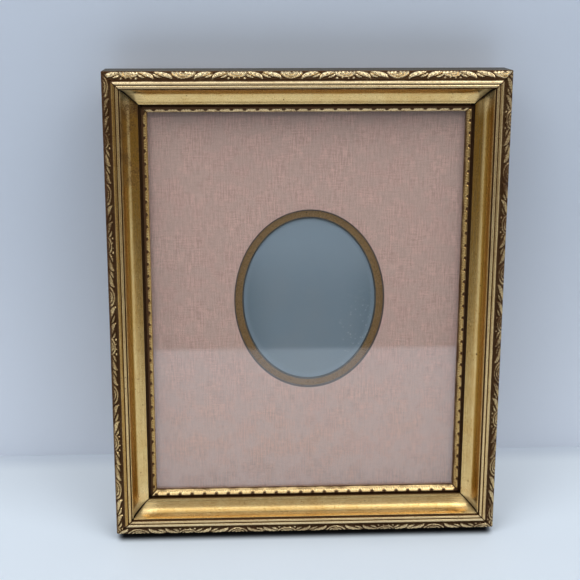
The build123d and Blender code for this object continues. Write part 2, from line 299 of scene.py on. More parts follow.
def drawGilt(tree):
    # burnished gold leaf over red bole, toned with a brown glaze and a dark wash in the hollows, which also carry
    # each rail's painted light and shade; uv in centimetres
    uv = ownPlace(tree)
    washAndShadeMask, glazedAndShaded, rubbed = (attribute(tree, name) for name in ("wash", "tone", "pale"))
    patches = mottle(tree, Scale=70.0, Low=0.38, High=0.68)
    grain = mottle(tree, Scale=1500.0, Detail=3.0)
    drawn = streaks(tree, Vector=uv, Along=0.35, Across=22.0, Low=0.32, High=0.68)
    hairs = scratches(tree, Vector=uv, Along=0.6, Across=5.0, Width=0.010)
    pits = specks(tree, Scale=420.0, Size=0.22, Share=0.06)
    dabs = specks(tree, Scale=160.0, Size=0.16, Share=0.05)
    flecks = specks(tree, Scale=760.0, Size=0.42)
    # the wash gathers in the hollows, painted shade lies where the rails carry it, and its edge is ragged
    washedAndShaded = sums(tree, "ADD", washAndShadeMask, between(tree, grain, -0.10, 0.10))
    washedAndShaded = sums(tree, "ADD", washedAndShaded, between(tree, patches, -0.10, 0.12))
    spots = times(tree, sums(tree, "MAXIMUM", pits, dabs), 0.75)
    washedAndShaded = sums(tree, "MAXIMUM", stretch(tree, washedAndShaded, 0.18, 0.80), spots)
    speckled = weighted(tree, (grain, giltSet["grain"]), (flecks, giltSet["flecks"]), (drawn, giltSet["streaks"]))
    toned = sums(tree, "ADD", glazedAndShaded, speckled, True)
    colour = layered(tree, giltSet, "gold", (patches, 1, "deepGold"), (rubbed, 1, "paleGold"),
                     (toned, 1, "glaze"), (hairs, 0.5, "bole"), (washedAndShaded, 1, "wash"))
    metal = between(tree, washedAndShaded, *giltSet["metallic"])
    metal = sums(tree, "SUBTRACT", metal, stretch(tree, glazedAndShaded, *giltSet["dulled"]), True)
    rough = between(tree, drawn, *giltSet["roughness"])
    rough = weighted(tree, (rough, 1), (washedAndShaded, giltSet["washRoughness"]))
    height = weighted(tree, (drawn, 0.15), (grain, 1), (hairs, -1), (spots, -1))
    feedShader(tree, Base_Color=colour, Metallic=metal, Roughness=rough, Normal=bumped(tree, height, 0.12, 0.00012))


bronzedSet = {
    "brown": (0.060, 0.046, 0.025, 1), "bronze": (0.098, 0.075, 0.038, 1), "rubbed": (0.040, 0.030, 0.019, 1),
    "spots": (0.03, 0.02, 0.012, 1), "shade": (0.018, 0.013, 0.009, 1),
}


def drawBronzedSide(tree):
    # the outside edge: thin bronze paint, rubbed and brown, darker at the mitres and with painted shade on the bottom
    # rail
    patches = mottle(tree, Scale=120.0, Low=0.35, High=0.7)
    drawn = streaks(tree, Vector=ownPlace(tree), Along=0.5, Across=14.0)
    spots = specks(tree, Scale=300.0, Size=0.25, Share=0.12)
    colour = layered(tree, bronzedSet, "brown", (drawn, 1, "bronze"), (patches, 0.6, "rubbed"),
                     (spots, 1, "spots"), (attribute(tree, "wash"), 1, "shade"))
    feedShader(tree, Base_Color=colour, Metallic=between(tree, patches, 0.55, 0.15),
               Roughness=between(tree, drawn, 0.42, 0.60), Normal=bumped(tree, drawn, 0.25, 0.0002))


woodSet = {
    "pale": (0.50, 0.34, 0.19, 1), "rings": (0.33, 0.195, 0.095, 1), "fibre": (0.25, 0.145, 0.07, 1),
    "stain": (0.22, 0.13, 0.07, 1), "joint": (0.045, 0.026, 0.015, 1),
}


def drawRawWood(tree):
    # the unfinished back of the moulding, grain along its length
    uv = ownPlace(tree)
    rings = streaks(tree, Vector=uv, Along=0.10, Across=2.4, Low=0.25, High=0.75)
    fibre = streaks(tree, Vector=uv, Along=1.2, Across=45.0)
    stain = mottle(tree, Vector=uv, Scale=0.5, Low=0.4, High=0.75)
    colour = layered(tree, woodSet, "pale", (rings, 1, "rings"), (fibre, 0.45, "fibre"),
                     (stain, 0.5, "stain"), (attribute(tree, "wash"), 1, "joint"))
    feedShader(tree, Base_Color=colour, Roughness=between(tree, fibre, 0.55, 0.75),
               Normal=bumped(tree, fibre, 0.35, 0.0002))


windowSet = {"ovalAt": (2.2, 3.4), "cloth": (46.0, 56.45), "ring": (40.85, 51.3)}  # place and half sizes, mm


def ovalPlace(tree, oval):
    # x and y over an oval window, 1 at its edge, and the distance out from the edge in millimetres
    centre = stance @ (Vector((*windowSet["ovalAt"], 0)) * mm)
    apart = addNode(tree, "VectorMath", {0: objectPlace(tree), 1: centre}, operation="SUBTRACT").outputs[0]
    x, y = (addNode(tree, "VectorMath", {0: apart, 1: way / size / mm}, operation="DOT_PRODUCT").outputs["Value"]
            for way, size in zip((rightward, upward), windowSet[oval]))
    squared = sums(tree, "ADD", times(tree, x, x), times(tree, y, y))
    out = sums(tree, "SUBTRACT", sums(tree, "POWER", squared, 0.5), 1.0)
    return x, y, times(tree, out, sum(windowSet[oval]) / 2)


clothSet = {
    "pink": (0.88, 0.575, 0.490, 1), "warmed": (0.80, 0.465, 0.335, 1), "shade": (0.43, 0.268, 0.215, 1),
    "faded": (0.68, 0.425, 0.365, 1), "greyed": (0.65, 0.455, 0.385, 1), "gap": (0.35, 0.21, 0.17, 1),
    "soil": (0.06, 0.032, 0.02, 1),
    "rib": 0.042, "weft": 0.036,  # width of a rib and of a crossing thread, cm
    "slubs": 0.43, "picks": 0.31,  # how far uneven ribs and crossing threads shade the cloth
    "warmedFrom": (-1.0, -10.0), "footShadeFrom": (-9.0, -12.0, 0.0, 0.30),  # heights in cm, from the middle: warmer and darker towards the bottom, and painted shade at the foot
}


def drawCloth(tree):
    # ribbed cloth: fine upright ribs crossed by thinner threads, with slubs; uv in centimetres, v up
    uv = ownPlace(tree)
    parts = addNode(tree, "SeparateXYZ", {"Vector": uv}).outputs
    swapped = addNode(tree, "CombineXYZ", {"X": parts["Y"], "Y": parts["X"]}).outputs[0]
    rib, weft = (sums(tree, "SINE", times(tree, parts[axis], 2 * math.pi / clothSet[thread]))
                 for axis, thread in (("X", "rib"), ("Y", "weft")))
    weave = sums(tree, "ADD", rib, times(tree, rib, weft))
    slubs = streaks(tree, Vector=swapped, Along=1.1, Across=12.0, Low=0.38, High=0.62)
    picks = streaks(tree, Vector=uv, Along=1.6, Across=12.0, Low=0.38, High=0.62)
    faded = mottle(tree, Vector=uv, Scale=0.28, Detail=3.0, Low=0.35, High=0.7)
    greyed = mottle(tree, Vector=uv, Scale=0.8, Detail=2.0, Low=0.40, High=0.62)
    warmed = stretch(tree, parts["Y"], *clothSet["warmedFrom"])
    # painted shade near the bottom edge, under the lip
    foot = stretch(tree, parts["Y"], *clothSet["footShadeFrom"])
    shade = weighted(tree, (slubs, clothSet["slubs"]), (picks, clothSet["picks"]), (foot, 1))
    gaps = stretch(tree, weave, -2.0, 0.4, 0.30, 0.0)
    # painted shade along the window, where the cloth turns over the board's edge
    turned = stretch(tree, ovalPlace(tree, "cloth")[2], 1.0, 0.55)
    colour = layered(tree, clothSet, "pink", (warmed, 1, "warmed"), (shade, 1, "shade"),
                     (faded, 0.35, "faded"), (greyed, 0.55, "greyed"), (gaps, 1, "gap"), (turned, 1, "soil"))
    height = weighted(tree, (weave, 1), (slubs, 1.2))
    feedShader(tree, Base_Color=colour, Roughness=between(tree, slubs, 0.62, 0.80),
               Normal=bumped(tree, height, 0.35, 0.00006))


giltCardSet = {
    "gold": (0.31, 0.164, 0.040, 1), "grain": (0.262, 0.134, 0.030, 1), "patches": (0.230, 0.117, 0.026, 1),
    "spots": (0.10, 0.06, 0.03, 1), "ink": (0.020, 0.024, 0.022, 1),
    "inked": (1.15, 0.90),  # how far from the window's edge the painted shade reaches, mm
}


def drawGiltCard(tree):
    # gold-faced card of the ring: duller than the leaf, finely grained, with painted shade along its cut edge
    grain = mottle(tree, Scale=1800.0, Detail=2.0)
    patches = mottle(tree, Scale=90.0, Low=0.35, High=0.7)
    spots = specks(tree, Scale=520.0, Size=0.25, Share=0.06)
    inked = stretch(tree, ovalPlace(tree, "ring")[2], *giltCardSet["inked"])
    colour = layered(tree, giltCardSet, "gold", (grain, 1, "grain"), (patches, 0.4, "patches"),
                     (spots, 1, "spots"), (inked, 1, "ink"))
    metal = sums(tree, "SUBTRACT", between(tree, patches, 0.50, 0.35), inked, True)
    feedShader(tree, Base_Color=colour, Metallic=metal, Roughness=between(tree, grain, 0.24, 0.34),
               Normal=bumped(tree, grain, 0.25, 0.00008))


cutEdgeSet = {"dark": (0.018, 0.024, 0.024, 1), "worn": (0.040, 0.040, 0.034, 1)}


def drawCutEdge(tree):
    # the cut edge of the ring, painted dark as the shade at the ring's edge, a little uneven
    patches = mottle(tree, Scale=300.0, Low=0.35, High=0.7)
    feedShader(tree, Base_Color=layered(tree, cutEdgeSet, "dark", (patches, 1, "worn")),
               Roughness=between(tree, patches, 0.55, 0.7))


cardSet = {
    # rim is the painted shade at the sides
    "middle": (0.208, 0.272, 0.326, 1), "fibre": (0.192, 0.254, 0.306, 1), "cloud": (0.234, 0.280, 0.318, 1),
    "rim": (0.130, 0.192, 0.240, 1), "head": (0.285, 0.362, 0.432, 1), "dust": (0.62, 0.64, 0.65, 1),
}


def drawBlueCard(tree):
    # blue-grey card: faint fibre, painted shade at both sides, painted light at the head and along the edge, specks
    # of dust low on the right
    x, y, far = ovalPlace(tree, "ring")
    # painted shade at both sides, fading out towards the head
    aside = stretch(tree, times(tree, x, x), 0.15, 1.0)
    rim = times(tree, aside, stretch(tree, y, 0.75, -0.1))
    head = stretch(tree, y, -0.1, 0.95)
    lowRight = times(tree, stretch(tree, x, 0.25, 0.60), stretch(tree, y, 0.25, -0.15))
    fibre = mottle(tree, Scale=2600.0, Detail=2.0)
    clouds = mottle(tree, Scale=32.0)
    dust = specks(tree, Scale=640.0, Size=0.28, Share=0.26)
    motes = specks(tree, Scale=420.0)
    dust = times(tree, sums(tree, "MAXIMUM", dust, motes), lowRight)
    # painted light along the window's edge
    byEdge = stretch(tree, far, -4.0, 0.0)
    colour = layered(tree, cardSet, "middle", (fibre, 1, "fibre"), (clouds, 0.7, "cloud"),
                     (head, 0.9, "head"), (rim, 0.85, "rim"), (byEdge, 0.6, "head"), (dust, 0.55, "dust"))
    feedShader(tree, Base_Color=colour, Roughness=between(tree, clouds, 0.50, 0.58),
               Normal=bumped(tree, fibre, 0.12, 0.00005))


glassSet = {"tint": (0.985, 0.992, 0.988, 1), "bending": 1.75, "roughness": (0.012, 0.03)}


def drawGlass(tree):
    # picture glass: lamps shine through it, and its gloss is a little uneven
    wiped = mottle(tree, Scale=18.0)
    feedShader(tree, Roughness=between(tree, wiped, *glassSet["roughness"]))
    seeThrough(tree, addNode(tree, "LightPath").outputs["Is Shadow Ray"])


boardSet = {
    # grain is the number of pressed cells per metre
    "matCore": dict(light=(0.70, 0.66, 0.57, 1), dark=(0.60, 0.55, 0.46, 1), scuffed=(1, 1, 1, 1), grain=1500.0,
                    rough=(0.67, 0.83)),
    "backingBoard": dict(light=(0.060, 0.044, 0.034, 1), dark=(0.030, 0.022, 0.017, 1),
                         scuffed=(0.132, 0.0968, 0.0748, 1), grain=900.0, rough=(0.47, 0.63)),
}


def drawBoard(tree, board):
    # paper-covered board: pressed grain, with scuffs paler than the board
    cells = addNode(tree, "TexVoronoi", {"Vector": objectPlace(tree), "Scale": board["grain"]}, feature="SMOOTH_F1")
    pressed = stretch(tree, cells.outputs["Distance"], 0.1, 0.7)
    fibre = mottle(tree, Scale=900.0)
    patches = mottle(tree, Scale=30.0, Low=0.35, High=0.7)
    scuffs = scratches(tree, Along=60.0, Across=420.0, Width=0.010)
    colour = layered(tree, board, "light", (patches, 1, "dark"), (pressed, 0.45, "dark"), (scuffs, 0.35, "scuffed"))
    height = weighted(tree, (fibre, 0.25), (pressed, -1))
    feedShader(tree, Base_Color=colour, Roughness=between(tree, fibre, *board["rough"]),
               Normal=bumped(tree, height, 0.5, 0.0003))


metalSet = {
    "brassedMetal": dict(bright=(0.78, 0.60, 0.30, 1), tarnish=(0.30, 0.19, 0.08, 1), rough=(0.24, 0.36)),
    "brightSteel": dict(bright=(0.63, 0.62, 0.60, 1), tarnish=(0.28, 0.25, 0.22, 1), rough=(0.22, 0.34)),
}


def drawMetal(tree, metal):
    # small stamped metal: fine brush lines, tarnish and a few scratches
    patches = mottle(tree, Scale=160.0, Low=0.4, High=0.72)
    brushed = streaks(tree, Along=90.0, Across=2600.0)
    hairs = scratches(tree, Along=200.0, Across=900.0)
    spots = specks(tree, Scale=700.0, Size=0.25, Share=0.08)
    marks = sums(tree, "MAXIMUM", times(tree, patches, 0.65), spots)
    rough = weighted(tree, (between(tree, brushed, *metal["rough"]), 1), (marks, 0.2))
    height = weighted(tree, (brushed, 0.4), (hairs, -1))
    feedShader(tree, Base_Color=layered(tree, metal, "bright", (marks, 1, "tarnish")), Roughness=rough,
               Metallic=between(tree, spots, 1.0, 0.4), Normal=bumped(tree, height, 0.2, 0.0001))


gilt = newMaterial("antiqueGilt", drawGilt, Specular_IOR_Level=0.15)
bronzedSide = newMaterial("bronzedSide", drawBronzedSide)
rawWood = newMaterial("rawWood", drawRawWood)
ribbedCloth = newMaterial("ribbedCloth", drawCloth, Sheen_Weight=0.12, Sheen_Roughness=0.5)
giltCard = newMaterial("giltCard", drawGiltCard)
shadedCutEdge = newMaterial("shadedCutEdge", drawCutEdge)
blueCard = newMaterial("blueCard", drawBlueCard)
pictureGlass = newMaterial("pictureGlass", drawGlass, Base_Color=glassSet["tint"], IOR=glassSet["bending"],
                           Transmission_Weight=1.0)
matCore, backingBoard = (newMaterial(name, drawBoard, board) for name, board in boardSet.items())
brassed, steel = (newMaterial(name, drawMetal, metal) for name, metal in metalSet.items())
print("finishes made")


# Rails: s runs outwards from the sight edge, h forward from the back and t along the rail, in millimetres

railSet = {
    "sightWidth": 190.5, "sightHeight": 241.3,  # opening
    "rowCount": 670,  # rows of faces along a rail, under 200,000 triangles
    "endRows": (0.0, 0.14, 0.30, 0.50),  # closer rows at the mitres
    "endZone": 0.75,  # from a mitre to the first of the even rows
    "cornerRound": 0.22,  # how far gesso and leaf soften an edge
    "cornerWorn": 0.45,  # radius of the frame's outer corners
    "lipRubbed": 0.8,  # how pale the lip is beside the beads and the band
    "mitreGap": 0.25, "mitreWide": 0.40,  # depth and width of the fine line at the mitres
    "tile": 31.5,  # from one fan to the next
    "recess": 1.0, "relief": 1.35,  # ground of the carving under the band, and its height over that
    "carvedFrom": 0.35, "carvedTo": 4.8,  # the part of the band's width that is carved
    "bandHead": 0.4,  # share of the cove's painted shade at the head that the band takes
    "mitreDull": 0.40,  # how far the cove's leaf is duller by the mitres
    "scallop": 7.7, "notchHalf": 1.35, "notchDeep": 1.40,  # from one notch to the next, and its size
    "notchCut": 0.60, "dotCut": 0.22,  # depth of the notches and of the punched dots
    "firstSeed": 11,  # of the top rail's random draws, and the other rails take the next ones
}

railPlaces = {
    # outward direction, direction along, a fan's place along, a notch's place along
    "top": ((0, 1), (1, 0), -10.2, 1.2),
    "bottom": ((0, -1), (-1, 0), -19.2, 3.1),
    "left": ((-1, 0), (0, 1), 11.0, 5.0),
    "right": ((1, 0), (0, -1), -22.4, 0.4),
}

railToneAndShade = {
    # for the top, bottom, left and right rail: glaze, wash and rubbed gold, set apart per rail as the painted light
    # and shade each rail gets
    "cove": (-0.12, 0.0, 0.92, 0.74), "arris": (0.85, 0.35, 0.95, 0.95),  # glaze in the cove and under its arris, heavy on the side rails as painted shade
    "rise": ((0.55, 0.5), (0.55, 0.5), (0.42, 0.58), (0.58, 0.50)),  # the cove's glaze half way up, and its rise towards the head: painted shade that changes up the side rails
    "headShade": (0.0, 0.0, 0.50, 0.28), "land": (0.75, 0.0, 0.0, 0.0),  # painted shade at the side rails' heads, and on the top rail's land beside the cove
    "lip": (0.1, 0.22, 0.45, 0.45), "lipInShade": (0.35, 0.42, 0.15, 0.70),  # glaze on the lip, heavier on the side rails as painted shade, and painted shade on its inner half
    "lipTo": (1.75, 3.30, 1.95, 2.85),  # how far out the lip's gold reaches, least on the top rail as painted shade
    "bead": (0.06, 0.12, 0.15, 0.05), "outerBead": (0.0, -0.08, 0.60, 0.20),  # glaze on the beads, set per rail as painted highlight and shade
    "band": (0.0, 0.28, 0.30, 0.52), "outside": (0.0, 0.22, 0.72, 0.42),  # wash left on the band and its outside, heavier on the side rails as painted shade
    "bare": ((0.18, 0.65), (0.54, 0.90), (0.42, 0.86), (0.62, 0.94)),  # how high the carving's gold begins, set per rail as painted shade
    "side": (0.0, 0.9, 0.0, 0.0),  # painted shade on the bottom rail's outside edge, which faces down
    "rubbed": (0.62, 0.50, 0.22, 0.30),  # how pale the raised mouldings are: rubbed gold, paler on the top rail as painted light
}

washSet = {
    # strength of the dark wash in the hollows of every rail, and of the painted shade along the lip's inner edge
    "groove": 1.0, "quirk": 1.0, "channel": 0.85, "ground": 0.88, "dots": 0.75, "lipEdgeShade": 0.35, "valley": 0.95,
    "beadEnd": 0.9,
}

railMarks = {
    # where the tones begin and end: outwards from the sight edge, across the band, away from the mitre, or up a side
    "lipInShade": (0.7, 1.6), "lipEdgeShade": (0.05, 0.3), "coveFace": (5.5, 8.0), "coveRimHighlight": (9.6, 10.5),
    "arris": (11.0, 12.2), "arrisEnd": (14.2, 14.5), "land": (14.45, 14.65), "beadFoot": (15.50, 15.75),
    "valley": 17.54, "valleyWide": (0.12, 0.32), "outerBead": 17.6, "beadEnd": (19.3, 19.7), "outside": (2.0, 4.2),
    "mitreDull": (3.0, 17.0), "mitreWash": (0.34, 0.75), "bandHead": (-0.6, 0.6), "coveHead": (0.1, 0.9),
}

profileStart = (0, 9.5)
profile = {
    # zone: lines by their end, arcs by centre, radii and angles, each with the number of its parts
    "lip": [((0, 10.6), 2), ((0.2, 11.2), 1), ((3.3, 13.6), 12)],
    "groove": [((3.3, 11.1), 3), ((5.1, 11.1), 2), ((5.1, 14.5), 3)],
    "cove": [((5.1, 23.6), (9.5, 9.1), (-90, 0), 16), ((15.1, 23.6), 2)],
    "quirk": [((15.15, 23.2), 1), ((15.5, 23.2), 1), ((15.5, 24.9), 2)],
    "bead": [((15.6, 25.65), 2), ((15.88, 25.93), 1), ((15.95, 23.93), (2.0, 2.0), (92, 52), 8), ((17.55, 24.95), 1),
             ((17.68, 25.55), 1), ((17.88, 25.93), 1), ((17.95, 23.93), (2.0, 2.0), (92, 52), 8), ((19.75, 24.85), 1),
             ((20.0, 24.7), 1)],
    "channel": [((20.0, 24.0), 1), ((20.8, 24.0), 1), ((20.8, 24.6), 1)],
    "band": [((20.8, 21.2), (4.6, 3.4), (90, 0), 22)],
    "side": [((24.8, 0), 4)],
    "back": [((7.1, 0), 3)],
    "rabbet": [((7.1, 9.5), 2), ((0, 9.5), 2)],
}


def drawProfile():
    # the moulding's outline, with the zone that each point begins
    pen, points, zones = np.array(profileStart), [], []
    for zone, *shape, parts in ((zone, *run) for zone, runs in profile.items() for run in runs):
        share = np.linspace(0, 1, parts + 1)[:, None]
        if len(shape) == 1:
            run = pen + (np.array(shape[0]) - pen) * share
        else:
            centre, radii, (first, last) = shape
            turn = np.radians(first + (last - first) * share)
            run = np.array(centre) + np.array(radii) * np.hstack((np.cos(turn), np.sin(turn)))
        points.append(run[:-1])
        zones += [zone] * parts
        pen = run[-1].round(3)  # joints lie on whole thousandths of a millimetre
    return np.concatenate(points), np.array(zones)


def softenCorners(points, zones):
    # a corner that turns more than 30 degrees becomes three points of a small curve
    soft, kept = [], []
    for index, point in enumerate(points):
        before, after = points[index - 1] - point, points[(index + 1) % len(points)] - point
        lengths = np.linalg.norm(before), np.linalg.norm(after)
        turn = math.degrees(math.acos(np.clip(-before @ after / lengths[0] / lengths[1], -1, 1)))
        if turn < 30:
            soft.append(point)
            kept.append(zones[index])
            continue
        first, last = (point + way * min(0.4, railSet["cornerRound"] / length)
                       for way, length in zip((before, after), lengths))
        soft += [first, (first + 2 * point + last) / 4, last]
        kept += [zones[index - 1], zones[index], zones[index]]
    return np.array(soft), np.array(kept)


def smooth(value, low, high):
    share = np.clip((value - low) / (high - low), 0, 1)
    return share * share * (3 - 2 * share)


def step(value, mark):
    return smooth(value, *railMarks[mark])


def leafShape(u, v, base, bend, tip, width):
    # a carved leaf along a bent spine: domed, with a midrib and slanting side veins
    share = np.linspace(0, 1, 25)
    spine = sum(part[:, None] * np.array(spot) for part, spot in
                (((1 - share) ** 2, base), (2 * share * (1 - share), bend), (share ** 2, tip)))
    far = (u[..., None] - spine[:, 0]) ** 2 + (v[..., None] - spine[:, 1]) ** 2
    distance, place = np.sqrt(far.min(-1)), share[far.argmin(-1)]
    half = width * np.sin(math.pi * np.clip(place ** 1.25 * 0.92 + 0.06, 0, 1)) ** 0.8
    dome = np.sqrt(np.clip(1 - (distance / half) ** 2, 0, 1))
    midrib = 0.30 * np.exp(-(distance / 0.28) ** 2) * smooth(place, 0.05, 0.2) * (1 - smooth(place, 0.8, 1.0))
    veins = 0.10 * np.sin(place * 26 - distance * 3.2) * smooth(distance, 0.2, 0.6)
    return dome * (1 - midrib + veins)


def fanShape(u, v, wide, deep, rings, sharp):
    # nested shell-like ridges that open outwards
    radius = np.hypot(u / wide, (v - 6.5) / deep)
    ribs = sum(np.exp(-((radius - ring) / sharp) ** 2) for ring in rings)
    flutes = 1 - 0.12 * np.cos(np.arctan2(u, 6.9 - v) * 18) ** 2
    return np.clip(ribs, 0, 1) * flutes


def berryShape(u, v, at, size):
    return np.sqrt(np.clip(1 - ((u - at[0]) / size) ** 2 - ((v - at[1]) / size) ** 2, 0, 1))


tileSet = {
    # leaves: base, bend and tip of the spine, half width; fans: place, width, depth, ridges, their sharpness;
    # berries: place back from the second fan, place across, size
    "leaves": [((6.6, 1.2), (8.4, 5.0), (16.4, 6.1), 2.15), ((12.2, 1.9), (14.2, 2.2), (17.2, 5.0), 1.0),
               ((16.9, 1.2), (18.6, 5.0), (25.8, 6.1), 2.10), ((22.0, 1.8), (23.8, 2.0), (26.4, 4.6), 0.95)],
    "fans": [(0.0, 6.0, 4.9, (1.0, 0.62, 0.26), 0.15), (railSet["tile"], 5.0, 4.2, (1.0, 0.58, 0.20), 0.17)],
    "berries": [(4.5, 1.5, 0.85), (1.6, 1.3, 0.55)],
}


def carvedBand(along, across, fanAt, rng):
    # fans every tile, and between them slanting leaves; each tile mirrors the one before
    tile = railSet["tile"]
    wander = 0.35 * np.sin(along * 0.13 + rng.uniform(0, 6)) + 0.2 * np.sin(along * 0.31 + rng.uniform(0, 6))
    u = np.abs((along + wander - fanAt + tile) % (2 * tile) - tile)
    v = 1.0 + (across - railSet["carvedFrom"]) / 0.80 + 0.12 * np.sin(along * 0.7 + rng.uniform(0, 6))
    shapes = [leafShape(u, v, *leaf) for leaf in tileSet["leaves"]]
    shapes += [fanShape(u - place, v, *fan) for place, *fan in tileSet["fans"]]
    shapes += [berryShape(u, v, (tile - back, up), size) for back, up, size in tileSet["berries"]]
    return np.maximum.reduce(shapes)


def scallops(along, s, firstNotch, goldTo, rng):
    # half-round notches cut into the lip from the groove, and four punched dots between them
    period = railSet["scallop"]
    wander = 0.15 * np.sin(along * 0.21 + rng.uniform(0, 6))
    u = (along + wander - firstNotch + period / 2) % period - period / 2
    notch = 1 - smooth(np.hypot(u / railSet["notchHalf"], (s - goldTo - 0.1) / railSet["notchDeep"]), 0.75, 1.05)
    notch = np.maximum(notch, smooth(s, goldTo - 0.30, goldTo + 0.25)) * smooth(s, 0.5, 0.9)
    dots = sum(1 - smooth(np.hypot(u - at * period, s - 1.5), 0.14, 0.40) for at in (-0.4, -0.2, 0.2, 0.4))
    return notch, dots


def railSurface(name, t, points, zones, arcLength, fromEnd, rng):
    # relief in millimetres, and dark wash, glaze and paler gold, at every point of a rail
    along, fanAt, firstNotch = railPlaces[name][1:]
    index = list(railPlaces).index(name)
    toneAndShade = {key: values[index] for key, values in railToneAndShade.items()}
    raised, wash, tone = np.zeros(t.shape), np.zeros(t.shape), np.zeros(t.shape)
    higher = t * along[1] / (railSet["sightHeight"] / 2)  # from -1 at a side rail's foot to 1 at its head
    inBand, inLip, inBead, inCove = (zones == zone for zone in ("band", "lip", "bead", "cove"))

    across, carvedTo = arcLength[inBand] - arcLength[inBand][0], railSet["carvedTo"]
    carved = carvedBand(t[:, inBand], across, fanAt, rng)
    edges = smooth(across, 0.0, 0.5) * (1 - smooth(across, carvedTo - 0.2, carvedTo + 0.4))
    raised[:, inBand] = (railSet["relief"] * carved - railSet["recess"]) * edges
    left = toneAndShade["band"] + (toneAndShade["outside"] - toneAndShade["band"]) * step(across, "outside")
    left = np.maximum(left, washSet["ground"] * smooth(across, carvedTo - 0.6, carvedTo + 0.2))
    left = left + railSet["bandHead"] * toneAndShade["headShade"] * step(higher[:, inBand], "bandHead")
    wash[:, inBand] = np.maximum(washSet["ground"] * (1 - smooth(carved, *toneAndShade["bare"])), left)

    at = points[inLip, 0]
    notch, dots = scallops(t[:, inLip], at, firstNotch, toneAndShade["lipTo"], rng)
    raised[:, inLip] = -railSet["notchCut"] * notch - railSet["dotCut"] * dots * (1 - notch)
    # painted shade on the lip's inner half and along its inner edge
    inside = toneAndShade["lipInShade"] * (1 - step(at, "lipInShade")) + washSet["lipEdgeShade"] * (1 - step(at, "lipEdgeShade"))
    wash[:, inLip] = np.maximum(np.maximum(notch, washSet["dots"] * np.clip(dots, 0, 1)), inside)
    tone[:, inLip] = toneAndShade["lip"]

    # hollows hold the dark wash, and the bottom rail's outside edge takes painted shade
    hollowsAndShade = {**washSet, "side": toneAndShade["side"]}
    for zone in ("groove", "quirk", "channel", "side"):
        wash[:, zones == zone] = hollowsAndShade[zone]
    at = points[inBead, 0]
    valley = washSet["valley"] * (1 - step(np.abs(at - railMarks["valley"]), "valleyWide"))
    foot, end = 1 - step(at, "beadFoot"), washSet["beadEnd"] * step(at, "beadEnd")
    wash[:, inBead] = np.maximum.reduce((valley, foot, end))
    tone[:, inBead] = np.where(at < railMarks["outerBead"], toneAndShade["bead"], toneAndShade["outerBead"])

    # painted light: by the mitres the cove's leaf is less glazed and less metallic, so it hides the dark reflections
    # where two rails mirror each other
    at, up, (share, slope) = points[inCove, 0], higher[:, inCove], toneAndShade["rise"]
    away = step(fromEnd, "mitreDull")[:, None]
    dull = railSet["mitreDull"] * (1 - away)
    arris = toneAndShade["arris"] * step(at, "arris") * (1 - step(at, "arrisEnd"))
    # the glaze thins past the cove's rim, leaving a painted highlight along it
    inside = toneAndShade["cove"] * np.clip(share + slope * up, -0.12, 1) * (1 - 0.8 * step(at, "coveRimHighlight"))
    tone[:, inCove] = inside + (arris - inside).clip(0) * away - dull * step(at, "coveFace")
    wash[:, inCove] = np.maximum(toneAndShade["land"] * step(at, "land"), toneAndShade["headShade"] * step(up, "coveHead"))

    # the mitre shows as a fine dark line
    front = ~np.isin(zones, ("back", "rabbet"))
    raised -= railSet["mitreGap"] * (1 - smooth(fromEnd, 0.0, railSet["mitreWide"]))[:, None] * front
    wash = np.maximum(wash, (1 - step(fromEnd, "mitreWash"))[:, None])
    rubbed = np.isin(zones, ("band", "bead")) + railSet["lipRubbed"] * inLip
    return raised, {"wash": wash, "tone": tone, "pale": np.broadcast_to(toneAndShade["rubbed"] * rubbed, t.shape)}


